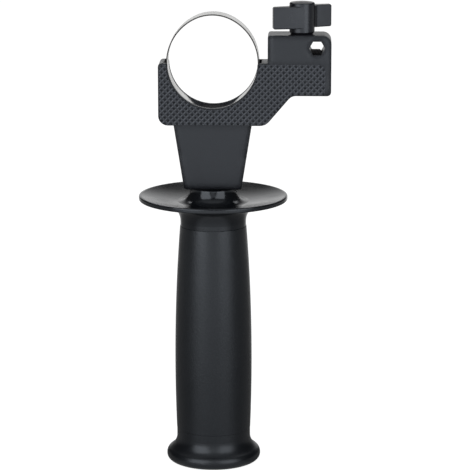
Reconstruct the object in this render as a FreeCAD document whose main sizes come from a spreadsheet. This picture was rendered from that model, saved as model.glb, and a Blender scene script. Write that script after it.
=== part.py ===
"""Side handle for a power tool: a collar clamp with a depth-rod clamp beside it, on a turned hand grip.

The origin is the centre of the tool's collar. +Y runs along the collar, away from the face with the
rod clamp on its right, +X points to the rod clamp and +Z points up, away from the grip. Millimetres.
"""
import FreeCAD, Part
import math
import os
import re

import Sketcher

SIZES = {
    # saddle moulding, seen along the collar
    "collar_radius": 21.5,
    "body_depth": 17.5,
    "saddle_wall": 4.5,
    "saddle_floor": 8.25,
    "body_corner": 4.7,
    "body_edge": 0.4,
    "horn_top": 0.2,
    "horn_round": 1.7,
    "horn_lip": 0.8,
    "slant_foot_out": 3.9,
    "slant_foot_round": 6.0,
    "slant_head_out": 16.3,
    "slant_head_round": 4.5,
    # rod clamp block
    "block_gap": 4.85,
    "block_width": 30.35,
    "block_top": 13.7,
    "block_floor": 15.2,
    "block_crown_round": 4.0,
    "block_heel_round": 2.0,
    "block_shoulder_round": 1.2,
    "block_side_round": 1.8,
    # neck between the saddle and the grip
    "neck_top_half": 18.9,
    "neck_end_half": 13.85,
    "neck_length": 31.45,
    "neck_step": 0.55,
    "neck_side_round": 2.2,
    "neck_end_round": 1.2,
    # grip panels, sunk in the two faces
    "panel_sink": 0.6,
    "panel_margin": 0.45,
    "panel_rim": 0.7,
    "panel_top": 0.25,
    "panel_side": 2.85,
    "panel_round": 3.2,
    # steel strap
    "strap_thickness": 0.6,
    "strap_width": 12.0,
    "strap_relief": 0.1,
    "strap_rise": 1.3,
    "strap_crown_step": 2.1,
    "strap_slope": 42.0,
    "strap_layer_gap": 0.1,
    "strap_bend": 1.6,
    "strap_tab": 4.0,
    "strap_tip": 8.5,
    "channel_room": 1.25,
    "channel_gap": 0.3,
    "strap_tip_room": 0.9,
    # tension bolt
    "bolt_radius": 4.0,
    "bolt_drop": 2.7,
    "bolt_head_height": 2.4,
    "bolt_flank_gap": 0.35,
    "bolt_square": 8.0,
    "bolt_square_gap": 0.15,
    "bolt_hole_gap": 0.3,
    "bolt_end_drop": 38.7,
    "bolt_chamfer": 0.8,
    # rod hole and clamping hook
    "rod_inset": 6.85,
    "rod_drop": 6.03,
    "rod_flat_half": 3.3,
    "hook_half": 2.0,
    "hook_gap": 0.3,
    "hook_floor": 1.5,
    "hook_arm_drop": 4.27,
    "hook_back": 3.4,
    "hook_front": 3.75,
    "hook_pad_back": 2.75,
    "hook_pad_front": 2.55,
    "hook_pad_drop": 1.57,
    "hook_pad_chamfer": 1.2,
    "hook_rise": 1.0,
    "stud_radius": 3.0,
    "stud_reach": 10.3,
    # thumb knob
    "knob_inset": 16.25,
    "knob_angle": 10.0,
    "knob_radius": 6.05,
    "knob_seat_gap": 0.1,
    "knob_foot_radius": 5.3,
    "knob_foot_height": 1.0,
    "knob_height": 15.6,
    "knob_dome": 0.5,
    "knob_edge": 0.7,
    "wing_reach": 14.8,
    "wing_tip": 3.3,
    "wing_taper": 18.0,
    "wing_blend": 2.5,
    "wing_floor_rise": 2.9,
    "wing_top_rise": 13.5,
    "wing_tip_round": 0.9,
    "wing_edge": 0.5,
    "insert_radius": 4.6,
    "insert_height": 8.0,
    "insert_gap": 0.02,
    "knob_bore_rise": 12.9,
    "thread_gap": 0.05,
    # grip
    "hub_gap": 0.1,
    "hub_radius": 11.0,
    "hub_flare": 6.4,
    "dish_drop": 6.6,
    "dish_sag": 0.35,
    "rim_radius": 36.1,
    "rim_land": 1.3,
    "rim_drop": 3.65,
    "rim_thickness": 2.35,
    "rim_edge": 0.7,
    "throat_radius": 16.0,
    "throat_drop": 16.6,
    "throat_flare": 9.0,
    "sleeve_drop": 18.7,
    "sleeve_top_radius": 16.15,
    "sleeve_belly_drop": 68.0,
    "sleeve_belly_radius": 18.82,
    "sleeve_length": 102.0,
    "sleeve_end_radius": 18.15,
    "sleeve_wall": 2.0,
    "sleeve_edge": 0.25,
    "flare_radius": 18.05,
    "flare_gap": 4.0,
    "flare_hollow": 7.5,
    "foot_shoulder_radius": 21.4,
    "foot_shoulder_drop": 10.2,
    "foot_radius": 23.06,
    "foot_belly_drop": 13.2,
    "foot_end_drop": 16.3,
    "foot_flat_radius": 20.5,
    "grip_hole_radius": 4.4,
    "nut_drop": 20.7,
    "nut_height": 6.5,
    "nut_flat_half": 6.5,
    "nut_pocket_gap": 0.05,
    "nut_chamfer": 0.6,
    "hollow_radius": 9.6,
    "hollow_end_radius": 10.6,
    "hollow_edge": 0.8,
}

# Places that follow from the sizes, so that a piece stays with the one that carries it
PLACES = {
    "body_left": "collar_radius + saddle_wall",
    "body_floor": "collar_radius + saddle_floor",
    "slant_foot": "collar_radius + slant_foot_out",
    "slant_head": "collar_radius + slant_head_out",
    "block_left": "collar_radius + block_gap",
    "block_right": "block_left + block_width",
    "neck_end": "body_floor + neck_length",
    "bolt_seat": "collar_radius + bolt_drop",
    "channel_reach": "strap_tip + strap_tip_room",
    "rod_x": "block_right - rod_inset",
    "rod_z": "block_top - rod_drop",
    "knob_x": "block_left + knob_inset",
    "hook_left": "knob_x - hook_back",
    "hook_right": "rod_x + hook_front",
    "hook_pad_left": "rod_x - hook_pad_back",
    "hook_pad_right": "rod_x + hook_pad_front",
    "hook_arm_top": "rod_z - hook_arm_drop",
    "hook_pad_top": "rod_z - hook_pad_drop",
    "stud_top": "block_top + stud_reach",
    "wing_floor": "block_top + wing_floor_rise",
    "wing_top": "block_top + wing_top_rise",
    "knob_top": "block_top + knob_height",
    "knob_bore_top": "block_top + knob_bore_rise",
    "hub_top": "neck_end + hub_gap",
    "rim_top": "hub_top + rim_drop",
    "dish_floor": "hub_top + dish_drop",
    "throat_top": "hub_top + throat_drop",
    "nut_top": "hub_top + nut_drop",
    "bolt_end": "hub_top + bolt_end_drop",
    "sleeve_top": "hub_top + sleeve_drop",
    "sleeve_belly": "sleeve_top + sleeve_belly_drop",
    "sleeve_end": "sleeve_top + sleeve_length",
    "flare_start": "sleeve_end + flare_gap",
    "foot_shoulder": "sleeve_end + foot_shoulder_drop",
    "foot_belly": "sleeve_end + foot_belly_drop",
    "foot_end": "sleeve_end + foot_end_drop",
}

doc = FreeCAD.newDocument("SideHandle")
sheet = doc.addObject("Spreadsheet::Sheet", "Sizes")
for row, (alias, value) in enumerate(SIZES.items(), start=1):
    sheet.set(f"A{row}", alias)
    sheet.set(f"B{row}", str(value))
    sheet.setAlias(f"B{row}", alias)
doc.recompute()

COS45 = "0.5 * sqrt(2)"


def bound(text):
    """Turn words of the sheet, and places that follow from them, into references to its cells."""
    def reference(word):
        if word[0] in PLACES:
            return f"({bound(PLACES[word[0]])})"
        return "Sizes." + word[0] if word[0] in SIZES else word[0]

    return re.sub(r"[a-z]\w*", reference, str(text))


def number(text):
    """The value that a text of sheet words has now."""
    return float(sheet.evalExpression(bound(text)))


def new_body(label):
    body = doc.addObject("PartDesign::Body", label)
    body.Label = label
    return body


def origin_feature(body, role):
    return next(feature for feature in body.Origin.OriginFeatures if feature.Role == role)


def new_sketch(body, name, plane, offset=None):
    """An empty sketch on one of the body's own planes, moved along that plane's normal by offset."""
    sketch = body.newObject("Sketcher::SketchObject", name)
    sketch.AttachmentSupport = (origin_feature(body, plane), [""])
    sketch.MapMode = "FlatFace"
    if offset is not None:
        sketch.setExpression(".AttachmentOffset.Base.z", bound(offset))
    return sketch


def pin_point(sketch, geometry, end, across, up):
    """Tie one end of a sketch's edge, or a point, to its two coordinates."""
    for kind, text in (("DistanceX", across), ("DistanceY", up)):
        index = sketch.addConstraint(Sketcher.Constraint(kind, -1, 1, geometry, end, number(text)))
        sketch.setExpression(f"Constraints[{index}]", bound(text))


def end_nearest(sketch, geometry, point):
    """1 or 2, whichever end of the edge lies at the point."""
    return min((1, 2), key=lambda end: (sketch.getPoint(geometry, end) - point).Length)


def draw(sketch, corners, closed=True):
    """Draw lines and arcs from corner to corner, every corner tied to the sheet.

    A corner is (across, up), and (across, up, middle_across, middle_up) where the edge that leaves it
    is an arc through that middle point.
    """
    points = [FreeCAD.Vector(number(corner[0]), number(corner[1]), 0) for corner in corners]
    edge_count = len(corners) if closed else len(corners) - 1
    edges = []
    for index in range(edge_count):
        start, end, corner = points[index], points[(index + 1) % len(points)], corners[index]
        if len(corner) == 2:
            edges.append(sketch.addGeometry(Part.LineSegment(start, end), False))
            continue
        middle = FreeCAD.Vector(number(corner[2]), number(corner[3]), 0)
        edges.append(sketch.addGeometry(Part.Arc(start, middle, end), False))
    starts = [end_nearest(sketch, edge, points[index]) for index, edge in enumerate(edges)]
    for index, edge in enumerate(edges):
        pin_point(sketch, edge, starts[index], corners[index][0], corners[index][1])
        if index > 0:
            sketch.addConstraint(
                Sketcher.Constraint("Coincident", edges[index - 1], 3 - starts[index - 1], edge, starts[index]))
    if closed:
        sketch.addConstraint(Sketcher.Constraint("Coincident", edges[-1], 3 - starts[-1], edges[0], starts[0]))
    else:
        pin_point(sketch, edges[-1], 3 - starts[-1], corners[-1][0], corners[-1][1])
    for edge, corner in zip(edges, corners):
        if len(corner) == 4:
            middle = FreeCAD.Vector(number(corner[2]), number(corner[3]), 0)
            mark = sketch.addGeometry(Part.Point(middle), True)
            pin_point(sketch, mark, 1, corner[2], corner[3])
            sketch.addConstraint(Sketcher.Constraint("PointOnObject", mark, 1, edge))


def outline(body, name, plane, corners, offset=None):
    sketch = new_sketch(body, name, plane, offset)
    draw(sketch, corners)
    return sketch


def circle(body, name, radius, across="0", up="0", offset=None, plane="XY_Plane"):
    sketch = new_sketch(body, name, plane, offset)
    centre = FreeCAD.Vector(number(across), number(up), 0)
    ring = sketch.addGeometry(Part.Circle(centre, FreeCAD.Vector(0, 0, 1), number(radius)), False)
    pin_point(sketch, ring, 3, across, up)
    index = sketch.addConstraint(Sketcher.Constraint("Radius", ring, number(radius)))
    sketch.setExpression(f"Constraints[{index}]", bound(radius))
    return sketch


def rectangle(body, name, plane, left, right, low, high, offset=None):
    return outline(body, name, plane, [(left, low), (right, low), (right, high), (left, high)], offset)


def rounded_rectangle(body, name, half_across, half_up, radius, offset):
    """A rectangle about the origin of the XY plane, with round corners."""
    turn = f"{radius} * (1 - {COS45})"
    corners = []
    for across, up, arc_first in (("", "-", False), ("", "", True), ("-", "", False), ("-", "-", True)):
        beside = (f"{across}({half_across} - {radius})", f"{up}({half_up})")
        level = (f"{across}({half_across})", f"{up}({half_up} - {radius})")
        bow = (f"{across}({half_across} - {turn})", f"{up}({half_up} - {turn})")
        first, last = (level, beside) if arc_first else (beside, level)
        corners += [first + bow, last]
    return outline(body, name, "XY_Plane", corners, offset)


def hexagon_corners(across, up, flat_half):
    """Corners of a hexagon with flats above and below its centre, at a distance of flat_half."""
    side = f"({flat_half}) / sqrt(3)"
    return [(f"{across} + 2 * {side}", up), (f"{across} + {side}", f"{up} + {flat_half}"),
            (f"{across} - {side}", f"{up} + {flat_half}"), (f"{across} - 2 * {side}", up),
            (f"{across} - {side}", f"{up} - ({flat_half})"), (f"{across} + {side}", f"{up} - ({flat_half})")]


def feature(body, kind, name, sketch, **options):
    """A sketch-based feature. Options are properties, and a text option is an expression."""
    made = body.newObject(f"PartDesign::{kind}", name)
    made.Profile = sketch
    for option, value in options.items():
        if option in ("Length", "Length2"):
            made.setExpression(option, bound(value))
        else:
            setattr(made, option, value)
    doc.recompute()
    return made


def cut(body, name, sketch, **options):
    """A pocket or groove that must take material away."""
    before = body.Shape.Volume
    made = feature(body, options.pop("kind", "Pocket"), name, sketch, **options)
    if not body.Shape.Volume < before:
        raise RuntimeError(f"{name} cuts nothing")
    return made


def turned(body, kind, name, sketch):
    """Turn a sketch on the XZ plane about Z."""
    return feature(body, kind, name, sketch, ReferenceAxis=(sketch, ["V_Axis"]), Angle=360.0)


def edges_where(shape, test):
    """Names of the edges whose every sampled point passes the test."""
    names = []
    for index, edge in enumerate(shape.Edges, start=1):
        first, last = edge.ParameterRange
        samples = [edge.valueAt(first + (last - first) * step / 4) for step in range(5)]
        if all(test(point) for point in samples):
            names.append(f"Edge{index}")
    return names


def near(value, text, reach=0.01):
    return abs(value - number(text)) < reach


def round_edges(body, name, test, radius, kind="Fillet"):
    """Round or chamfer the edges of the body's last feature that pass the test."""
    base = body.Tip
    names = edges_where(base.Shape, test)
    if not names:
        raise RuntimeError(f"{name} finds no edge")
    made = body.newObject(f"PartDesign::{kind}", name)
    made.Base = (base, names)
    made.setExpression("Radius" if kind == "Fillet" else "Size", bound(radius))
    doc.recompute()
    return made


def along_y(across, up):
    """A test for edges that run along Y at a place in the XZ plane."""
    return lambda point: near(point.x, across) and near(point.z, up)


def make_clamp_body():
    """One moulding: the saddle with its two horns, the rod clamp block and the neck."""
    body = new_body("clamp_body")
    half_depth = "0.5 * body_depth"

    profile = outline(body, "SaddleOutline", "XZ_Plane", [
        ("-body_left", "horn_top"),
        ("block_left", "horn_top"),
        ("block_left", "block_top"),
        ("block_right", "block_top"),
        ("block_right", "-block_floor"),
        ("slant_head", "-block_floor"),
        ("slant_foot", "-body_floor"),
        ("-body_left", "-body_floor")])
    feature(body, "Pad", "Saddle", profile, Length="body_depth", SideType="Symmetric")
    cut(body, "CollarSeat", circle(body, "CollarCircle", "collar_radius", plane="XZ_Plane"),
        Type="ThroughAll", SideType="Symmetric")
    round_edges(body, "HornCorner", along_y("-body_left", "horn_top"), "horn_round")
    round_edges(body, "LowerCorner", along_y("-body_left", "-body_floor"), "body_corner")
    round_edges(body, "SlantFoot", along_y("slant_foot", "-body_floor"), "slant_foot_round")
    round_edges(body, "SlantHead", along_y("slant_head", "-block_floor"), "slant_head_round")
    round_edges(body, "BlockCrown", along_y("block_right", "block_top"), "block_crown_round")
    round_edges(body, "BlockHeel", along_y("block_right", "-block_floor"), "block_heel_round")
    mouth = "sqrt(collar_radius^2 - horn_top^2)"
    round_edges(body, "HornLips", lambda point: near(abs(point.x), mouth) and near(point.z, "horn_top"), "horn_lip")
    round_edges(body, "BlockSides", lambda point: near(point.x, "block_left")
                and near(abs(point.y), half_depth) and point.z > number("horn_top - 0.1"), "block_side_round")
    side_seam = number("block_left + block_side_round")
    round_edges(body, "OuterEdges", lambda point: near(abs(point.y), half_depth)
                and (abs(point.x - side_seam) > 0.01 or point.z < 0), "body_edge")
    turn = f"block_shoulder_round * (1 - {COS45})"
    shoulder = outline(body, "ShoulderOutline", "XZ_Plane", [
        ("block_left", "block_top - block_shoulder_round", f"block_left + {turn}", f"block_top - {turn}"),
        ("block_left + block_shoulder_round", "block_top"),
        ("block_left + block_shoulder_round", "block_top + 1"), ("block_left - 1", "block_top + 1"),
        ("block_left - 1", "block_top - block_shoulder_round")])
    cut(body, "BlockShoulder", shoulder, Type="ThroughAll", SideType="Symmetric")

    neck_depth = "(0.5 * body_depth - neck_step)"
    top = rounded_rectangle(body, "NeckTop", "neck_top_half", neck_depth, "neck_side_round", "-body_floor + body_edge")
    end = rounded_rectangle(body, "NeckFoot", "neck_end_half", neck_depth, "neck_side_round", "-neck_end")
    feature(body, "AdditiveLoft", "Neck", top, Sections=[end], Ruled=True)
    round_edges(body, "NeckEnd", lambda point: near(point.z, "-neck_end"), "neck_end_round")

    wall = "(collar_radius + strap_relief + strap_thickness + channel_room)"
    knee_across, knee_down = f"{wall} * sin(strap_slope)", f"-strap_rise - {wall} * cos(strap_slope)"
    floor = "(bolt_seat + 2 * strap_thickness + strap_layer_gap + strap_rise + channel_gap)"
    ramp_end = f"channel_reach * tan(strap_slope) - {wall} / cos(strap_slope) - strap_rise"
    bow_across = f"{wall} * cos(45 - 0.5 * strap_slope)"
    bow_down = f"-strap_rise - {wall} * sin(45 - 0.5 * strap_slope)"
    channel = outline(body, "ChannelOutline", "XZ_Plane", [
        (f"-{wall}", "horn_top + 3"),
        (f"-{wall}", "-strap_rise", f"-{bow_across}", bow_down),
        (f"-{knee_across}", knee_down),
        ("-channel_reach", ramp_end),
        ("-channel_reach", f"-{floor}"),
        ("channel_reach", f"-{floor}"),
        ("channel_reach", ramp_end),
        (knee_across, knee_down, bow_across, bow_down),
        (wall, "-strap_rise"),
        (wall, "horn_top + 3")])
    cut(body, "StrapChannel", channel, Length="strap_width + 2 * channel_gap", SideType="Symmetric")
    cut(body, "BoltHole", circle(body, "BoltCircle", "bolt_radius + bolt_hole_gap"), Type="ThroughAll")

    rod_hole = outline(body, "RodHexagon", "XZ_Plane", hexagon_corners("rod_x", "rod_z", "rod_flat_half"))
    cut(body, "RodHole", rod_hole, Type="ThroughAll", SideType="Symmetric")
    cut(body, "StudHole", circle(body, "StudCircle", "stud_radius + hook_gap", "knob_x"),
        Type="ThroughAll", SideType="Symmetric")
    slot = outline(body, "HookSlotOutline", "XZ_Plane", [
        ("hook_left - hook_gap", "-block_floor - 1"),
        ("hook_right + hook_gap", "-block_floor - 1"),
        ("hook_right + hook_gap", "hook_arm_top + hook_rise + hook_gap"),
        ("hook_pad_right + hook_gap", "hook_arm_top + hook_rise + hook_gap"),
        ("hook_pad_right + hook_gap", "hook_pad_top + hook_rise + hook_gap"),
        ("hook_pad_left - hook_gap", "hook_pad_top + hook_rise + hook_gap"),
        ("hook_pad_left - hook_gap", "hook_arm_top + hook_rise + hook_gap"),
        ("hook_left - hook_gap", "hook_arm_top + hook_rise + hook_gap")])
    cut(body, "HookSlot", slot, Length="2 * hook_half + 2 * hook_gap", SideType="Symmetric")

    for name, side, turn in (("Front", "", False), ("Back", "-", True)):
        panel = outline(body, f"{name}PanelOutline", "XZ_Plane", panel_corners(), offset=f"{side}0.5 * body_depth")
        cut(body, f"{name}Panel", panel, Length="panel_sink", Reversed=turn)
    return body


def panel_corners():
    """The sunk grip panel: round the saddle, down the left horn and out along the block."""
    rim = "(collar_radius + panel_rim)"
    half_rim = "0.5 * sqrt(4 * (collar_radius + panel_rim)^2 - 4 * panel_top^2)"
    crown = "(block_right - panel_side)"
    corner = "panel_round * (1 - 0.5 * sqrt(2))"
    slope = "((slant_head - slant_foot) / (body_floor - block_floor))"
    shift = f"panel_margin * sqrt(1 + {slope}^2)"
    return [
        (f"-{half_rim}", "-panel_top", "0", f"-{rim}"),
        (half_rim, "-panel_top"),
        (f"{crown} - panel_round", "-panel_top", f"{crown} - {corner}", f"-panel_top - {corner}"),
        (crown, "-panel_top - panel_round"),
        (crown, "-block_floor + panel_margin"),
        (f"slant_head - {shift} + panel_margin * {slope}", "-block_floor + panel_margin"),
        (f"slant_foot - {shift} + panel_margin * {slope}", "-body_floor + panel_margin"),
        ("-body_left + body_corner", "-body_floor + panel_margin",
         f"-body_left + body_corner - (body_corner - panel_margin) * {COS45}",
         f"-body_floor + body_corner - (body_corner - panel_margin) * {COS45}"),
        ("-body_left + panel_margin", "-body_floor + body_corner"),
        ("-body_left + panel_margin", "horn_top - horn_round",
         f"-body_left + horn_round - (horn_round - panel_margin) * {COS45}",
         f"horn_top - horn_round + (horn_round - panel_margin) * {COS45}"),
        ("-body_left + horn_round", "-panel_top")]


def turned_round(path):
    """The same path walked from its other end. Each arc's middle point moves to the arc's new start."""
    backward = []
    for index in range(len(path) - 1, -1, -1):
        middle = path[index - 1][2:] if index > 0 else ()
        backward.append(path[index][:2] + middle)
    return backward


def strap_bend_points(corner_across, level, radius, side, rising):
    """The bend between a flat at a level and the sloping run beside it, side -1 for a run on the left."""
    tangent = f"{radius} * tan(0.5 * strap_slope)"
    flat = (f"{corner_across} - ({side}) * {tangent}", f"-{level}")
    run = (f"{corner_across} + ({side}) * {tangent} * cos(strap_slope)", f"-{level} + {tangent} * sin(strap_slope)")
    bow = (f"{corner_across} - ({side}) * ({tangent} - {radius} * sin(0.5 * strap_slope))",
           f"-{level} + {radius} * (1 - cos(0.5 * strap_slope))")
    first, last = (flat, run) if rising else (run, flat)
    return [first + bow, last]


def strap_path(out):
    """The strap's line from its outer end to its inner tab, moved out from mid-thickness by out.

    Below the collar's centre it is a circle with two sloping runs. Above, two flatter side arcs meet a
    tighter crown, which stands the strap's rise above the collar.
    """
    base = "(collar_radius + strap_relief + 0.5 * strap_thickness)"
    middle = f"({base} + {out})"
    pitch = "(strap_thickness + strap_layer_gap)"
    upper = f"(bolt_seat + 0.5 * strap_thickness + {out})"
    lower = f"({upper} + {pitch})"
    tight, wide = f"(strap_bend + {out})", f"(strap_bend + {pitch} + {out})"
    knee_across, knee_down = f"{middle} * sin(strap_slope)", f"-{middle} * cos(strap_slope)"
    bow_across, bow_down = f"{middle} * cos(45 - 0.5 * strap_slope)", f"-{middle} * sin(45 - 0.5 * strap_slope)"

    def corner_on(distance, level):
        """Where the run at a distance from the centre reaches a level."""
        return f"({distance} / sin(strap_slope) - {level} / tan(strap_slope))"

    crown_height, crown_radius = "(strap_rise + strap_crown_step)", f"({base} - strap_crown_step)"
    side_radius = f"(({base}^2 + {crown_height}^2 - {crown_radius}^2) / (2 * strap_crown_step))"
    side_shift = f"({side_radius} - {base})"
    turn = f"atan({side_shift} / {crown_height})"
    meet_across = f"({crown_radius} + {out}) * sin({turn})"
    meet_up = f"{crown_height} + ({crown_radius} + {out}) * cos({turn})"
    side_across = f"({side_radius} + {out}) * cos(45 deg - 0.5 * {turn}) - {side_shift}"
    side_up = f"({side_radius} + {out}) * sin(45 deg - 0.5 * {turn})"
    crown_top = f"{crown_height} + {crown_radius} + {out}"

    tab_corner = corner_on(f"({middle} - {pitch})", upper)
    tab_run = f"(strap_tab + ({tight} - strap_bend) * tan(0.5 * strap_slope))"
    path = [("strap_tip", f"-{lower}")]
    path += strap_bend_points(f"-{corner_on(middle, lower)}", lower, wide, -1, True)
    path += [(f"-{knee_across}", knee_down, f"-{bow_across}", bow_down),
             (f"-{middle}", "0", f"-({side_across})", side_up),
             (f"-{meet_across}", meet_up, "0", crown_top),
             (meet_across, meet_up, side_across, side_up),
             (middle, "0", bow_across, bow_down),
             (knee_across, knee_down)]
    path += strap_bend_points(corner_on(middle, upper), upper, tight, 1, False)
    path += strap_bend_points(f"-{tab_corner}", upper, tight, -1, True)
    path += [(f"-{tab_corner} - {tab_run} * cos(strap_slope)", f"-{upper} + {tab_run} * sin(strap_slope)")]
    return path


def make_clamp_strap():
    """Steel strap round the collar. Its ends lie on each other under the bolt head."""
    body = new_body("clamp_strap")
    loop = strap_path("0.5 * strap_thickness") + turned_round(strap_path("-0.5 * strap_thickness"))
    feature(body, "Pad", "Strap", outline(body, "StrapOutline", "XZ_Plane", loop),
            Length="strap_width", SideType="Symmetric")
    hole = "0.5 * bolt_square + bolt_square_gap"
    cut(body, "BoltSquare", rectangle(body, "BoltSquareOutline", "XY_Plane",
                                      f"-({hole})", hole, f"-({hole})", hole), Type="ThroughAll")
    return body


def make_tension_bolt():
    """Hammer-head bolt with a square neck. Its head's flanks lie between the strap's sloping runs."""
    body = new_body("tension_bolt")
    half = "0.5 * bolt_square"
    square = rectangle(body, "SquareOutline", "XY_Plane", f"-{half}", half, f"-{half}", half, "-bolt_seat")
    feature(body, "Pad", "SquareNeck", square, Length="2 * strap_thickness + strap_layer_gap", Reversed=True)
    flank = "(collar_radius + strap_relief - strap_thickness - strap_layer_gap - bolt_flank_gap) / sin(strap_slope)"
    foot = f"({flank} - bolt_seat / tan(strap_slope))"
    crown = f"({flank} - (bolt_seat - bolt_head_height) / tan(strap_slope))"
    head = outline(body, "HeadOutline", "XZ_Plane", [
        (f"-{foot}", "-bolt_seat"), (foot, "-bolt_seat"),
        (crown, "bolt_head_height - bolt_seat"), (f"-{crown}", "bolt_head_height - bolt_seat")])
    feature(body, "Pad", "Head", head, Length="strap_width", SideType="Symmetric")
    shank = circle(body, "ShankCircle", "bolt_radius", offset="-bolt_seat")
    feature(body, "Pad", "Shank", shank, Length="bolt_end - bolt_seat", Reversed=True)
    round_edges(body, "PointChamfer", lambda point: near(point.z, "-bolt_end"), "bolt_chamfer", "Chamfer")
    return body


def sleeve_curve(inset, down=True):
    """The barrel's long curve from the sleeve's top to its end, or back up, set in by inset."""
    top = (f"sleeve_top_radius - ({inset})", "-sleeve_top")
    belly = (f"sleeve_belly_radius - ({inset})", "-sleeve_belly")
    end = (f"sleeve_end_radius - ({inset})", "-sleeve_end")
    first, last = (top, end) if down else (end, top)
    return [first + belly, last]


def make_grip_core():
    """Hard moulding: hub, hand guard, the barrel's core and the flared foot."""
    body = new_body("grip_core")
    turn = "(1 - 0.5 * sqrt(2))"
    flare_end = "(hub_radius + hub_flare)"
    rim_inner = "(rim_radius - rim_land)"
    under = "(rim_top + rim_thickness)"
    throat = "12"
    profile = [
        ("grip_hole_radius", "-hub_top"),
        ("hub_radius", "-hub_top"),
        ("hub_radius", "-dish_floor + hub_flare", f"hub_radius + hub_flare * {turn}", f"-dish_floor + hub_flare * {turn}"),
        (flare_end, "-dish_floor", f"0.5 * ({flare_end} + {rim_inner})", "-0.5 * (dish_floor + rim_top) - dish_sag"),
        (rim_inner, "-rim_top"),
        ("rim_radius", "-rim_top"),
        ("rim_radius", f"-{under}"),
        (rim_inner, f"-{under}"),
        (f"throat_radius + throat_flare * (1 - sin({throat}))", f"-throat_top + throat_flare * cos({throat})",
         f"throat_radius + throat_flare * (1 - cos(39))", "-throat_top + throat_flare * sin(39)"),
        ("throat_radius", "-throat_top"),
        ("throat_radius", "-sleeve_top")]
    profile += sleeve_curve("sleeve_wall")
    profile += [
        ("flare_radius", "-sleeve_end"),
        ("flare_radius", "-flare_start", "flare_radius + flare_hollow * (1 - cos(28))",
         "-flare_start - flare_hollow * sin(28)"),
        ("foot_shoulder_radius", "-foot_shoulder", "foot_shoulder_radius + 0.7 * (foot_radius - foot_shoulder_radius)",
         "-foot_shoulder - 0.38 * (foot_belly - foot_shoulder)"),
        ("foot_radius", "-foot_belly", "foot_flat_radius + 0.73 * (foot_radius - foot_flat_radius)",
         "-foot_end + 0.3 * (foot_end - foot_belly)"),
        ("foot_flat_radius", "-foot_end"),
        ("hollow_end_radius", "-foot_end"),
        ("hollow_radius", "-nut_top - nut_height"),
        ("grip_hole_radius", "-nut_top - nut_height")]
    turned(body, "Revolution", "Core", outline(body, "CoreProfile", "XZ_Plane", profile))
    round_edges(body, "RimEdges", lambda point: near(math.hypot(point.x, point.y), "rim_radius"), "rim_edge")
    round_edges(body, "HollowMouth", lambda point: near(point.z, "-foot_end")
                and near(math.hypot(point.x, point.y), "hollow_end_radius"), "hollow_edge")
    pocket = outline(body, "NutPocketOutline", "XY_Plane",
                     hexagon_corners("0", "0", "nut_flat_half + nut_pocket_gap"), "-nut_top - nut_height")
    cut(body, "NutPocket", pocket, Length="nut_height", Reversed=True)
    return body


def make_grip_sleeve():
    """Soft sleeve moulded on the barrel between the guard's throat and the foot."""
    body = new_body("grip_sleeve")
    profile = sleeve_curve("0") + sleeve_curve("sleeve_wall", down=False)
    turned(body, "Revolution", "Sleeve", outline(body, "SleeveProfile", "XZ_Plane", profile))
    round_edges(body, "SleeveEdges", lambda point: (
        near(math.hypot(point.x, point.y), "sleeve_top_radius") and near(point.z, "-sleeve_top"))
        or (near(math.hypot(point.x, point.y), "sleeve_end_radius") and near(point.z, "-sleeve_end")), "sleeve_edge")
    return body


def make_grip_nut():
    """Hexagon nut held in the core, chamfered at both ends."""
    body = new_body("grip_nut")
    prism = outline(body, "NutOutline", "XY_Plane", hexagon_corners("0", "0", "nut_flat_half"), "-nut_top - nut_height")
    feature(body, "Pad", "NutPrism", prism, Length="nut_height")
    cut(body, "NutBore", circle(body, "NutBoreCircle", "bolt_radius + thread_gap", offset="-nut_top"),
        Length="nut_height")
    corner = "(nut_flat_half * 2 / sqrt(3))"
    lean = f"nut_chamfer / ({corner} - nut_flat_half)"
    for name, level, inward in (("Top", "-nut_top", "-"), ("End", "-nut_top - nut_height", "+")):
        wedge = outline(body, f"Nut{name}Chamfer", "XZ_Plane", [
            ("nut_flat_half", level), (f"{corner} + 1", level),
            (f"{corner} + 1", f"{level} {inward} {lean} * ({corner} + 1 - nut_flat_half)")])
        cut(body, f"Nut{name}Turned", wedge, kind="Groove", ReferenceAxis=(wedge, ["V_Axis"]), Angle=360.0)
    return body


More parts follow.
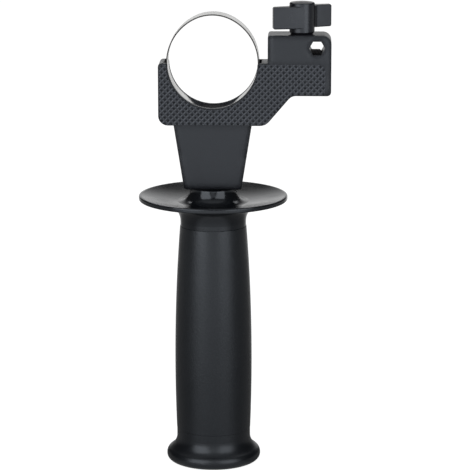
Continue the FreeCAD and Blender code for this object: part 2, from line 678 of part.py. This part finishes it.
def make_thumb_knob():
    """Two-winged knob, built on its own axis and then set on the block."""
    body = new_body("thumb_knob")
    base = "(block_top + knob_seat_gap)"
    front, back = "knob_radius", "(knob_radius - wing_tip)"
    lean = ("cos(wing_taper)", "sin(wing_taper)")
    # the wing's back face runs past the axis at this distance, and its blend has this centre beside it
    past = f"(wing_reach * {lean[1]} - {back} * {lean[0]})"
    beside = f"({past} + wing_blend)"
    along = f"sqrt((knob_radius + wing_blend)^2 - {beside}^2)"
    half_bend = f"(0.5 * atan({along} / {beside}))"

    def leaned(forward, aside):
        """A point given along the wing's back face and across it, in the plan of the wing at -X."""
        return (f"-({forward}) * {lean[0]} - ({aside}) * {lean[1]}", f"-({forward}) * {lean[1]} + ({aside}) * {lean[0]}")

    bow = leaned(f"{along} - wing_blend * sin({half_bend})", f"{beside} - wing_blend * cos({half_bend})")
    share = "knob_radius / (knob_radius + wing_blend)"
    wing = [("0", f"-{front}"), ("-wing_reach", f"-{front}"), ("-wing_reach", f"-{back}"),
            leaned(along, past) + bow, leaned(f"{along} * {share}", f"{beside} * {share}")]
    corners = wing + [tuple(f"-({text})" for text in corner) for corner in wing]
    plan = outline(body, "WingPlan", "XY_Plane", corners, "wing_floor")
    feature(body, "Pad", "Wings", plan, Length="wing_top - wing_floor")
    round_edges(body, "WingTips", lambda point: near(abs(point.x), "wing_reach")
                and (near(point.z, "wing_top") or near(point.z, "wing_floor")), "wing_tip_round")
    taper = math.radians(number("wing_taper"))

    def on_wing(point):
        """On the front or back face of a wing, and not on an upright edge of the blend or the hub."""
        side = -1 if point.x > 0 else 1
        across = math.cos(taper) * point.y * side - math.sin(taper) * point.x * side
        level = near(point.z, "wing_top") or near(point.z, "wing_floor")
        outer = abs(point.x) > number(f"{along} * {lean[0]} + {past} * {lean[1]}") + 0.05
        return (level or outer) and (near(point.y * side, "-knob_radius") or near(across, past))

    round_edges(body, "WingEdges", on_wing, "wing_edge")

    hub = outline(body, "HubProfile", "XZ_Plane", [
        ("0", base), ("knob_foot_radius", base), ("knob_radius", f"{base} + knob_foot_height"),
        ("knob_radius", "knob_top - knob_dome"),
        ("0", "knob_top - knob_dome")])
    turned(body, "Revolution", "Hub", hub)
    round_edges(body, "HubEdge", lambda point: near(point.z, "knob_top - knob_dome"), "knob_edge")
    cap = outline(body, "CapProfile", "XZ_Plane", [
        ("0", "knob_top - knob_dome - 0.2"), ("knob_radius - knob_edge", "knob_top - knob_dome - 0.2"),
        ("knob_radius - knob_edge", "knob_top - knob_dome", "0.5 * (knob_radius - knob_edge)",
         "knob_top - 0.27 * knob_dome"),
        ("0", "knob_top")])
    turned(body, "Revolution", "Cap", cap)

    cut(body, "InsertSeat", circle(body, "InsertSeatCircle", "insert_radius + insert_gap", offset=base),
        Length="insert_height", Reversed=True)
    cut(body, "StudBore", circle(body, "StudBoreCircle", "stud_radius + hook_gap", offset=base),
        Length=f"knob_bore_top - {base}", Reversed=True)
    set_on_knob_axis(body, "knob_angle")
    return body


def set_on_knob_axis(body, turn=None):
    body.setExpression(".Placement.Base.x", bound("knob_x"))
    if turn:
        body.Placement.Rotation = FreeCAD.Rotation(FreeCAD.Vector(0, 0, 1), number(turn))
        body.setExpression(".Placement.Rotation.Angle", bound(turn))


def make_knob_insert():
    """Threaded bush moulded into the knob's foot."""
    body = new_body("knob_insert")
    base = "(block_top + knob_seat_gap)"
    profile = [("stud_radius + thread_gap", base), ("insert_radius", base),
               ("insert_radius", f"{base} + insert_height"), ("stud_radius + thread_gap", f"{base} + insert_height")]
    turned(body, "Revolution", "Bush", outline(body, "BushProfile", "XZ_Plane", profile))
    set_on_knob_axis(body)
    return body


def make_clamp_hook():
    """Steel hook: a stud up into the knob, and an arm with a pad that presses the rod from below."""
    body = new_body("clamp_hook")
    plate = outline(body, "HookOutline", "XZ_Plane", [
        ("hook_left", "-hook_floor"), ("hook_right", "-hook_floor"), ("hook_right", "hook_arm_top"),
        ("hook_pad_right", "hook_arm_top"), ("hook_pad_right", "hook_pad_top - hook_pad_chamfer"),
        ("hook_pad_right - hook_pad_chamfer", "hook_pad_top"), ("hook_pad_left", "hook_pad_top"),
        ("hook_pad_left", "hook_arm_top"), ("hook_left", "hook_arm_top")])
    feature(body, "Pad", "HookPlate", plate, Length="2 * hook_half", SideType="Symmetric")
    stud = circle(body, "StudCircle", "stud_radius", "knob_x", offset="-hook_floor")
    feature(body, "Pad", "Stud", stud, Length="stud_top + hook_floor")
    round_edges(body, "StudPoint", lambda point: near(point.z, "stud_top"), "0.2 * stud_radius", "Chamfer")
    return body


PARTS = [make_clamp_body(), make_clamp_strap(), make_tension_bolt(), make_grip_core(), make_grip_sleeve(),
         make_grip_nut(), make_thumb_knob(), make_knob_insert(), make_clamp_hook()]

doc.recompute()
for item in doc.Objects:
    if "Invalid" in item.State or "Error" in item.State:
        raise RuntimeError(f"{item.Label} failed: {item.State}")
for part in PARTS:
    if part.Shape.isNull() or not part.Shape.isValid() or len(part.Shape.Solids) != 1:
        raise RuntimeError(f"{part.Label} is not one valid solid")

os.makedirs("parts", exist_ok=True)
for part in PARTS:
    part.Shape.exportStep(f"parts/{part.Label}.step")
    print(f"{part.Label}: {part.Shape.Volume / 1000:.2f} cm3")
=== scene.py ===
"""Looks of the side handle: black plastic, a soft black sleeve, a bright steel strap and knurled faces."""

import math

import bmesh
import bpy
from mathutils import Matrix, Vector


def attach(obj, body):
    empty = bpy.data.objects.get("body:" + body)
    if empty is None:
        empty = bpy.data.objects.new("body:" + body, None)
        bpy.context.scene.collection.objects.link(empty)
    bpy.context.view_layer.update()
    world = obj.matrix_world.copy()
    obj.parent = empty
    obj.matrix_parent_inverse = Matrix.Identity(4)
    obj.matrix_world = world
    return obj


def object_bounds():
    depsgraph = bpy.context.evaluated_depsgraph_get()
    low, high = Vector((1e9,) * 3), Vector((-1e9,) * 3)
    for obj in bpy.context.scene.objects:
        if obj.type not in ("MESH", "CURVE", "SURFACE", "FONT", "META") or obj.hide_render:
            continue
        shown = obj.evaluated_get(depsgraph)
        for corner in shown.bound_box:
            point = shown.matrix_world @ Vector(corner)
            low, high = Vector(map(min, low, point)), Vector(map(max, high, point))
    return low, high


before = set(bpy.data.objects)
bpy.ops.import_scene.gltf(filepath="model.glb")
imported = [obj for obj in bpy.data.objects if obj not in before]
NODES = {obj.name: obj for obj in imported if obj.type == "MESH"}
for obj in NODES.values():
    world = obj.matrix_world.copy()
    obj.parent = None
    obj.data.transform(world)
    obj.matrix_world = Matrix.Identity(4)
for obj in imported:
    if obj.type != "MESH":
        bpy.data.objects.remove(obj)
CAD_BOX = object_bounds()
MM = 0.001


# Nodes

def node(tree, kind, **inputs):
    """A shader node with some of its inputs set, by name with underscores for spaces."""
    made = tree.nodes.new(kind)
    for name, value in inputs.items():
        made.inputs[name.replace("_", " ")].default_value = value
    return made


def feed(tree, value, socket):
    """Link a socket to another, or give it a plain value."""
    if isinstance(value, bpy.types.NodeSocket):
        tree.links.new(value, socket)
    else:
        socket.default_value = value


def operate(tree, operation, first, second=0.0):
    """One operation of two values, each a socket or a number."""
    made = tree.nodes.new("ShaderNodeMath")
    made.operation = operation
    feed(tree, first, made.inputs[0])
    feed(tree, second, made.inputs[1])
    return made.outputs["Value"]


def mapped(tree, source, span, result):
    """A value moved from the range span to the range result, and held inside it."""
    ramp = node(tree, "ShaderNodeMapRange", From_Min=span[0], From_Max=span[1])
    ramp.inputs["To Min"].default_value = result[0]
    ramp.inputs["To Max"].default_value = result[1]
    tree.links.new(source, ramp.inputs["Value"])
    return ramp.outputs["Result"]


def mixed(tree, first, second, factor, blend="MIX"):
    """Two colours mixed, each a socket or a plain colour."""
    made = tree.nodes.new("ShaderNodeMix")
    made.data_type = "RGBA"
    made.blend_type = blend
    for name, value in (("A", first), ("B", second), ("Factor", factor)):
        feed(tree, value, made.inputs[name])
    return made.outputs["Result"]


def parts_of(tree, vector):
    """The X, Y and Z of a vector."""
    parts = tree.nodes.new("ShaderNodeSeparateXYZ")
    tree.links.new(vector, parts.inputs["Vector"])
    return parts.outputs


def distance_of(tree, vector):
    """The length of a vector."""
    made = tree.nodes.new("ShaderNodeVectorMath")
    made.operation = "LENGTH"
    tree.links.new(vector, made.inputs[0])
    return made.outputs["Value"]


def object_coordinates(tree, stretch=(1, 1, 1)):
    """Object coordinates in millimetres, stretched along each axis."""
    place = tree.nodes.new("ShaderNodeTexCoord")
    scale = node(tree, "ShaderNodeMapping", Scale=[1000 * part for part in stretch])
    tree.links.new(place.outputs["Object"], scale.inputs["Vector"])
    return scale.outputs["Vector"]


def noise(tree, vector, scale, detail=2.0, roughness=0.6):
    made = node(tree, "ShaderNodeTexNoise", Scale=scale, Detail=detail, Roughness=roughness)
    tree.links.new(vector, made.inputs["Vector"])
    return made.outputs["Fac"]


def bump(tree, height, distance, before=None):
    """A normal bent by a height, whose full range is a distance in millimetres."""
    made = node(tree, "ShaderNodeBump", Strength=1.0, Distance=distance * MM)
    tree.links.new(height, made.inputs["Height"])
    if before is not None:
        tree.links.new(before, made.inputs["Normal"])
    return made.outputs["Normal"]


def tone(colour, factor):
    """A colour made darker or paler, as a shader takes it."""
    return (*[part * factor for part in colour], 1)


# Materials

NOISE_SPAN = (0.3, 0.7)
UNIT = (0.0, 1.0)

COOL = (0.84, 0.91, 1.0)
PLASTIC_GLOSS = 0.52
GLOSS_SCALE = 0.06
GLOSS_SPREAD = 0.05
MOTTLE_SCALE = 0.8
TONE_SCALE = 0.35
TONE_SPREAD = (0.88, 1.14)
WORN_POINTINESS = (0.52, 0.6)
WORN_PALE = 0.01

# Painted highlight on the knurl's crests and painted shade in its pits, as factors of the colour.
CREST_HIGHLIGHT_TONE, PIT_SHADE_TONE = 2.1, 0.3
CREST_ROUGHNESS, PIT_ROUGHNESS = 0.3, 0.62
CREST_SPAN = (0.3, 0.9)
PATCH_SPREAD = (0.75, 1.25)
KNURL_GRAIN = 0.012

BRUSH_SCALE = 1.2
BRUSH_DEPTH = 0.004
BRUSH_SPREAD = (-0.06, 0.08)
# Painted shade along the strap's edges: where it begins and how dark it gets.
EDGE_SHADE_SPAN = (-0.7, -0.35)
EDGE_SHADE_TONE = 0.1
THREAD_DEPTH = 0.45
THREAD_START = 0.4

MATT_LEVEL = -150
MATT_BLEND = 8
MATT_EXTRA = 0.13


def new_material(name, colour, roughness, metallic=0.0, specular=0.5, tint=(1, 1, 1)):
    material = bpy.data.materials.new(name)
    material.use_nodes = True
    tree = material.node_tree
    shader = tree.nodes["Principled BSDF"]
    shader.inputs["Base Color"].default_value = (*colour, 1)
    shader.inputs["Roughness"].default_value = roughness
    shader.inputs["Metallic"].default_value = metallic
    shader.inputs["Specular IOR Level"].default_value = specular
    shader.inputs["Specular Tint"].default_value = (*tint, 1)
    return material, tree, shader


def moulded_plastic(name, colour, roughness, grain=0.35, grain_depth=0.012, worn=0.0, rounded=0.0,
                    mottle=0.0):
    """Black moulded plastic: a fine spark-eroded grain, slow changes of gloss, soft edges, paler where worn.

    The grain's size and depth, the radius of the rounded edges and the mottle's depth are in millimetres.
    """
    material, tree, shader = new_material(name, colour, roughness, specular=PLASTIC_GLOSS, tint=COOL)
    place = object_coordinates(tree)
    slow = noise(tree, place, GLOSS_SCALE, 3.0, 0.55)
    gloss = mapped(tree, slow, NOISE_SPAN, (roughness - GLOSS_SPREAD, roughness + GLOSS_SPREAD))
    tree.links.new(gloss, shader.inputs["Roughness"])
    edges = None
    if rounded:
        edges = node(tree, "ShaderNodeBevel", Radius=rounded * MM).outputs["Normal"]
    normal = bump(tree, noise(tree, place, 1 / grain), grain_depth, edges)
    if mottle:
        normal = bump(tree, noise(tree, place, MOTTLE_SCALE), mottle, normal)
    tree.links.new(normal, shader.inputs["Normal"])
    darker, paler = (tone(colour, factor) for factor in TONE_SPREAD)
    shade = mixed(tree, darker, paler, noise(tree, place, TONE_SCALE, 4.0, 0.65))
    if worn:
        rubbed = (*[part * (1 + worn) + WORN_PALE * worn for part in colour], 1)
        pointiness = tree.nodes.new("ShaderNodeNewGeometry").outputs["Pointiness"]
        shade = mixed(tree, shade, rubbed, mapped(tree, pointiness, WORN_POINTINESS, UNIT))
    tree.links.new(shade, shader.inputs["Base Color"])
    return material


def knurled_plastic(name, colour, floor, crest):
    """The same moulding where it is knurled: crests rubbed smoother by hands and pits matt, with a painted
    highlight on the crests and painted shade in the pits.

    The floor and the crest of the knurl are their distances from the middle, along Y.
    """
    material, tree, shader = new_material(name, colour, CREST_ROUGHNESS, specular=PLASTIC_GLOSS, tint=COOL)
    place = object_coordinates(tree)
    aside = operate(tree, "ABSOLUTE", parts_of(tree, place)["Y"])
    height = mapped(tree, aside, (floor, crest), UNIT)
    # Painted light: paler crests stand for a highlight, darker pits stand for shade.
    shade = mixed(tree, tone(colour, PIT_SHADE_TONE), tone(colour, CREST_HIGHLIGHT_TONE), height)
    uneven = mapped(tree, noise(tree, place, 0.5, 3.0), NOISE_SPAN, PATCH_SPREAD)
    tree.links.new(mixed(tree, shade, uneven, 1.0, "MULTIPLY"), shader.inputs["Base Color"])
    gloss = mapped(tree, height, CREST_SPAN, (PIT_ROUGHNESS, CREST_ROUGHNESS))
    tree.links.new(gloss, shader.inputs["Roughness"])
    tree.links.new(bump(tree, noise(tree, place, 3.0), KNURL_GRAIN), shader.inputs["Normal"])
    return material


def steel(name, colour, roughness, metallic=1.0, specular=0.5, brushed=(1, 1, 1), edge=None, thread=None):
    """Plated, blacked or bright steel, or brass. Brushing runs along the axes that are stretched least.

    A strip gets painted shade along its edges, which lie about edge from the middle, along Y. A thread,
    given by its pitch and by the height that it lies below, shows as turned rings.
    """
    material, tree, shader = new_material(name, colour, roughness, metallic, specular)
    grain = noise(tree, object_coordinates(tree, brushed), BRUSH_SCALE, 3.0)
    gloss = mapped(tree, grain, NOISE_SPAN, [roughness + part for part in BRUSH_SPREAD])
    tree.links.new(gloss, shader.inputs["Roughness"])
    normal = bump(tree, grain, BRUSH_DEPTH)
    if edge:
        aside = operate(tree, "ABSOLUTE", parts_of(tree, object_coordinates(tree))["Y"])
        # Painted shade: the strip's colour darkens towards its edges.
        edge_shade = mapped(tree, aside, [edge + part for part in EDGE_SHADE_SPAN], UNIT)
        shade = mixed(tree, tone(colour, 1), tone(colour, EDGE_SHADE_TONE), edge_shade)
        tree.links.new(shade, shader.inputs["Base Color"])
    if thread:
        pitch, top = thread
        place = object_coordinates(tree)
        rings = node(tree, "ShaderNodeTexWave", Scale=math.pi / (10 * pitch))
        rings.bands_direction = "Z"
        tree.links.new(place, rings.inputs["Vector"])
        inside = mapped(tree, parts_of(tree, place)["Z"], (top, top - THREAD_START), UNIT)
        normal = bump(tree, operate(tree, "MULTIPLY", rings.outputs["Fac"], inside), THREAD_DEPTH, normal)
    tree.links.new(normal, shader.inputs["Normal"])
    return material


def matt_end(material):
    """Make a moulding rougher under a height, where it has a matt end."""
    tree = material.node_tree
    rough = tree.nodes["Principled BSDF"].inputs["Roughness"]
    height = parts_of(tree, object_coordinates(tree))["Z"]
    more = mapped(tree, height, (MATT_LEVEL - MATT_BLEND, MATT_LEVEL), (MATT_EXTRA, 0.0))
    tree.links.new(operate(tree, "ADD", rough.links[0].from_socket, more), rough)


SADDLE_BLACK = (0.0070, 0.0076, 0.0100)
GRIP_BLACK = (0.0046, 0.0054, 0.0068)
KNOB_BLACK = (0.0044, 0.0044, 0.0066)

saddle = moulded_plastic("saddle plastic", SADDLE_BLACK, 0.34, worn=0.15, rounded=4.5, mottle=0.02)
hard_grip = moulded_plastic("grip plastic", GRIP_BLACK, 0.20, grain=0.5, grain_depth=0.003)
matt_end(hard_grip)
soft_grip = moulded_plastic("sleeve rubber", GRIP_BLACK, 0.36, grain_depth=0.02, mottle=0.07)
knob = moulded_plastic("knob plastic", KNOB_BLACK, 0.30, worn=0.5)
knurled = knurled_plastic("knurled plastic", SADDLE_BLACK, 8.15, 8.71)
LOOKS = {
    "clamp_body": saddle,
    "grip_core": hard_grip,
    "grip_sleeve": soft_grip,
    "thumb_knob": knob,
    "clamp_strap": steel("strap steel", (0.56, 0.56, 0.55), 0.27, brushed=(0.15, 4, 0.15), edge=6.0),
    "tension_bolt": steel("bolt steel", (0.012, 0.012, 0.014), 0.8, metallic=0.0, specular=0.1,
                          thread=(1.25, -70)),
    "grip_nut": steel("nut steel", (0.62, 0.63, 0.64), 0.34),
    "knob_insert": steel("insert brass", (0.72, 0.55, 0.28), 0.3),
    "clamp_hook": steel("hook steel", (0.02, 0.02, 0.022), 0.6, metallic=0.0, specular=0.2),
}


def dress(obj, material):
    """Give an object one material."""
    obj.data.materials.clear()
    obj.data.materials.append(material)
    obj.data.polygons.foreach_set("material_index", [0] * len(obj.data.polygons))


for name, material in LOOKS.items():
    dress(NODES[name], material)


def place_new(name, data):
    """A new object in the scene."""
    obj = bpy.data.objects.new(name, data)
    bpy.context.scene.collection.objects.link(obj)
    return obj


# Knurled faces of the saddle. Millimetres.

SADDLE_FACE = 8.75
PANEL_SINK = 0.6
RIDGE_PITCH = 2.06
RIDGE_PROFILE = ((0.11, 1.0), (0.6, 0.7), (0.84, 0.0))
RIDGE_COUNT = 40
GRID_SHIFT = Vector((-0.9, 0.0, 0.17))
GRID_COUNT = 48
CROSS_HEIGHT = 0.9
PIT_DEPTH = 0.56
PIT_FLOOR = 0.02
ON_LEVEL = 0.004


def panel_floor(level):
    """The floor of a sunk panel, as a flat mesh cut from the saddle's own mesh."""
    source = NODES["clamp_body"].data
    sheet = bmesh.new()
    made = {}
    for polygon in source.polygons:
        corners = [source.vertices[index].co / MM for index in polygon.vertices]
        if all(abs(corner.y - level) < ON_LEVEL for corner in corners):
            keys = [(round(corner.x, 3), round(corner.z, 3)) for corner in corners]
            if len(set(keys)) < 3:
                continue
            for key in keys:
                if key not in made:
                    made[key] = sheet.verts.new((key[0], level, key[1]))
            if sheet.faces.get([made[key] for key in keys]) is None:
                sheet.faces.new([made[key] for key in keys])
    bmesh.ops.dissolve_limit(sheet, angle_limit=0.01, verts=sheet.verts, edges=sheet.edges)
    return sheet


def cut_lines(sheet, normal, offsets):
    """Cut a mesh along parallel lines, which lie at some offsets from the grid's middle."""
    middle = GRID_SHIFT.dot(normal)
    for offset in offsets:
        bmesh.ops.bisect_plane(sheet, geom=sheet.verts[:] + sheet.edges[:] + sheet.faces[:], dist=1e-5,
                               plane_co=normal * (offset + middle), plane_no=normal)


def ridge_height(distance):
    """1 on the ridge, easing over a shoulder to 0 on the pit's floor, for the distance to the ridge line."""
    for (near, high), (far, low) in zip(RIDGE_PROFILE, RIDGE_PROFILE[1:]):
        if distance <= far:
            return high + (low - high) * max(0.0, distance - near) / (far - near)
    return 0.0


def knurl(name, outward):
    """Crossed ridges between square pits, flush with the face around the panel."""
    level = outward * (SADDLE_FACE - PANEL_SINK)
    sheet = panel_floor(level)
    rising, falling = Vector((1, 0, 1)).normalized(), Vector((-1, 0, 1)).normalized()
    ridges = [index * RIDGE_PITCH + side * gap for index in range(-RIDGE_COUNT, RIDGE_COUNT + 1)
              for side in (-1, 1) for gap, _ in RIDGE_PROFILE]
    grid = [index * RIDGE_PITCH / math.sqrt(2) for index in range(-GRID_COUNT, GRID_COUNT + 1)]
    for direction in (rising, falling):
        cut_lines(sheet, direction, ridges)
    for direction in (Vector((1, 0, 0)), Vector((0, 0, 1))):
        cut_lines(sheet, direction, grid)
    for vertex in sheet.verts:
        heights = []
        for direction, height in ((falling, 1.0), (rising, CROSS_HEIGHT)):
            along = (vertex.co - GRID_SHIFT).dot(direction)
            heights.append(height * ridge_height(abs(along - round(along / RIDGE_PITCH) * RIDGE_PITCH)))
        vertex.co.y = level + outward * (PIT_FLOOR + PIT_DEPTH * max(heights))
    for polygon in sheet.faces:
        if polygon.normal.y * outward < 0:
            polygon.normal_flip()
    bmesh.ops.triangulate(sheet, faces=sheet.faces[:])
    bmesh.ops.scale(sheet, vec=(MM, MM, MM), verts=sheet.verts)
    mesh = bpy.data.meshes.new(name)
    sheet.to_mesh(mesh)
    sheet.free()
    obj = place_new(name, mesh)
    mesh.materials.append(knurled)
    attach(obj, "clamp")


knurl("front_knurl", -1)
knurl("back_knurl", 1)


# Floor, light and camera. Metres, with the floor's angles in radians and the others in degrees.

FLOOR_HALF = 30.0
FLOOR_GAP = 0.0002
FLOOR_COLOUR = (0.24, 0.24, 0.24, 1)
FLOOR_GLOW = 0.95
GLOW_REACH = (0.45, 0.95)

GLOSS_GLOW = 0.95
FRONT_ANGLES = (0.75, 1.25)
BEHIND_ANGLES = (0.3, 0.75)
SIDE_GLOW = (0.1, 0.35)
SIDE_REACH = (0.5, 0.95)
FOOT_SHADE = (0.35, 1.0)
FOOT_REACH = (0.05, 0.9)

WHITE = (1, 1, 1, 1)
AMBIENT = 0.03
OVERHEAD = 0.5
OVERHEAD_HEIGHTS = (0.75, 0.95)
FIELD_DEPTHS = (0.72, 0.86)
FIELD_HEIGHTS = (0.2, 0.46)
FIELD_FADE = (1.0, 0.06)
FIELD_SIDES = (0.26, 0.42)

LAMP_AIM = (0.01, 0, -0.09)
LAMP_DISTANCE = 1.1
CAMERA_AIM = (0.010585, 0.0, -0.085089)
CAMERA_DISTANCE = 1.150
CAMERA_TURN = 1.741
CAMERA_RISE = 12.496
CAMERA_LENS = 180.77
CAMERA_SENSOR = 36.0


def gloss_field(tree):
    """How bright the floor is in a gloss: white in front and in a strip behind, dim beside and near."""
    place = tree.nodes.new("ShaderNodeTexCoord").outputs["Object"]
    parts = parts_of(tree, place)
    reach = distance_of(tree, place)
    forward = operate(tree, "MULTIPLY", parts["Y"], -1)
    aside = operate(tree, "ABSOLUTE", parts["X"])
    angle = operate(tree, "ARCTAN2", aside, operate(tree, "ABSOLUTE", forward))
    front = mapped(tree, angle, FRONT_ANGLES, (GLOSS_GLOW, 0.0))
    in_front = operate(tree, "MULTIPLY", operate(tree, "GREATER_THAN", forward, 0), front)
    behind = mapped(tree, angle, BEHIND_ANGLES, (GLOSS_GLOW, 0.0))
    side = mapped(tree, reach, SIDE_REACH, SIDE_GLOW)
    field = operate(tree, "MAXIMUM", side, operate(tree, "MAXIMUM", in_front, behind))
    return operate(tree, "MULTIPLY", field, mapped(tree, reach, FOOT_REACH, FOOT_SHADE))


def seen_directly(tree, to_eye, to_gloss):
    """A strength for what the camera sees, another for what shines in metal and gloss, 0 for the rest."""
    seen = tree.nodes.new("ShaderNodeLightPath")
    direct = operate(tree, "MULTIPLY", seen.outputs["Is Camera Ray"], to_eye)
    shine = operate(tree, "MAXIMUM", seen.outputs["Is Glossy Ray"], seen.outputs["Is Transmission Ray"])
    return operate(tree, "MAXIMUM", direct, operate(tree, "MULTIPLY", shine, to_gloss))


def make_floor():
    """A pale floor, white to the eye except in the object's shadow, and open to views from below."""
    mesh = bpy.data.meshes.new("floor")
    corners = [(x * FLOOR_HALF, y * FLOOR_HALF, 0) for x, y in ((-1, -1), (1, -1), (1, 1), (-1, 1))]
    mesh.from_pydata(corners, [], [(0, 1, 2, 3)])
    floor = place_new("floor", mesh)
    floor.location.z = CAD_BOX[0].z - FLOOR_GAP
    material = bpy.data.materials.new("pale floor")
    material.use_nodes = True
    tree = material.node_tree
    tree.nodes.clear()
    out = tree.nodes.new("ShaderNodeOutputMaterial")
    add = tree.nodes.new("ShaderNodeAddShader")
    matte = node(tree, "ShaderNodeBsdfDiffuse", Color=FLOOR_COLOUR)
    glow = node(tree, "ShaderNodeEmission", Color=WHITE)
    reach = distance_of(tree, tree.nodes.new("ShaderNodeTexCoord").outputs["Object"])
    to_eye = mapped(tree, reach, GLOW_REACH, (FLOOR_GLOW, 1.0))
    tree.links.new(seen_directly(tree, to_eye, gloss_field(tree)), glow.inputs["Strength"])
    tree.links.new(matte.outputs["BSDF"], add.inputs[0])
    tree.links.new(glow.outputs["Emission"], add.inputs[1])
    clear = tree.nodes.new("ShaderNodeBsdfTransparent")
    side = tree.nodes.new("ShaderNodeMixShader")
    tree.links.new(tree.nodes.new("ShaderNodeNewGeometry").outputs["Backfacing"], side.inputs["Fac"])
    tree.links.new(add.outputs["Shader"], side.inputs[1])
    tree.links.new(clear.outputs["BSDF"], side.inputs[2])
    tree.links.new(side.outputs["Shader"], out.inputs["Surface"])
    mesh.materials.append(material)


def make_world():
    """White to the eye. For the object it is dim, with a bright low field behind and a glow overhead."""
    world = bpy.data.worlds.new("studio")
    bpy.context.scene.world = world
    world.use_nodes = True
    tree = world.node_tree
    background = tree.nodes["Background"]
    seen = tree.nodes.new("ShaderNodeLightPath")
    parts = parts_of(tree, tree.nodes.new("ShaderNodeTexCoord").outputs["Generated"])
    behind = mapped(tree, parts["Y"], FIELD_DEPTHS, UNIT)
    low = mapped(tree, parts["Z"], FIELD_HEIGHTS, FIELD_FADE)
    narrow = mapped(tree, operate(tree, "ABSOLUTE", parts["X"]), FIELD_SIDES, (1.0, 0.0))
    field = operate(tree, "MULTIPLY", operate(tree, "MULTIPLY", behind, low), narrow)
    overhead = mapped(tree, parts["Z"], OVERHEAD_HEIGHTS, (AMBIENT, OVERHEAD))
    dim = operate(tree, "MAXIMUM", field, overhead)
    level = operate(tree, "MAXIMUM", dim, seen.outputs["Is Camera Ray"])
    tree.links.new(level, background.inputs["Strength"])
    background.inputs["Color"].default_value = WHITE


def look_at(obj, target, azimuth, elevation, distance):
    """Place an object so that it looks at a target. Azimuth 0 is in front, and it grows to the right."""
    a, e = math.radians(azimuth), math.radians(elevation)
    away = Vector((math.sin(a) * math.cos(e), -math.cos(a) * math.cos(e), math.sin(e)))
    obj.location = Vector(target) + away * distance
    obj.rotation_euler = (-away).to_track_quat("-Z", "Y").to_euler()


def softbox(name, azimuth, elevation, width, height, watts):
    """An area lamp that looks at the object."""
    lamp = bpy.data.lights.new(name, "AREA")
    lamp.shape = "RECTANGLE"
    lamp.size = width
    lamp.size_y = height
    lamp.energy = watts
    look_at(place_new(name, lamp), LAMP_AIM, azimuth, elevation, LAMP_DISTANCE)


def make_camera():
    """The photograph's view: a long lens a little over a metre away, looking slightly down."""
    data = bpy.data.cameras.new("camera")
    data.sensor_width = CAMERA_SENSOR
    data.lens = CAMERA_LENS
    obj = place_new("camera", data)
    look_at(obj, CAMERA_AIM, CAMERA_TURN, CAMERA_RISE, CAMERA_DISTANCE)
    bpy.context.scene.camera = obj


make_floor()
make_world()
softbox("left softbox", -38, 22, 0.9, 1.2, 8.2)
softbox("right softbox", 40, 20, 0.85, 1.2, 7)
softbox("front softbox", 1, 16, 0.5, 0.9, 1.0)
softbox("rear softbox", 180, 52, 1.2, 0.5, 3)
make_camera()

bpy.context.scene.view_settings.view_transform = "Standard"
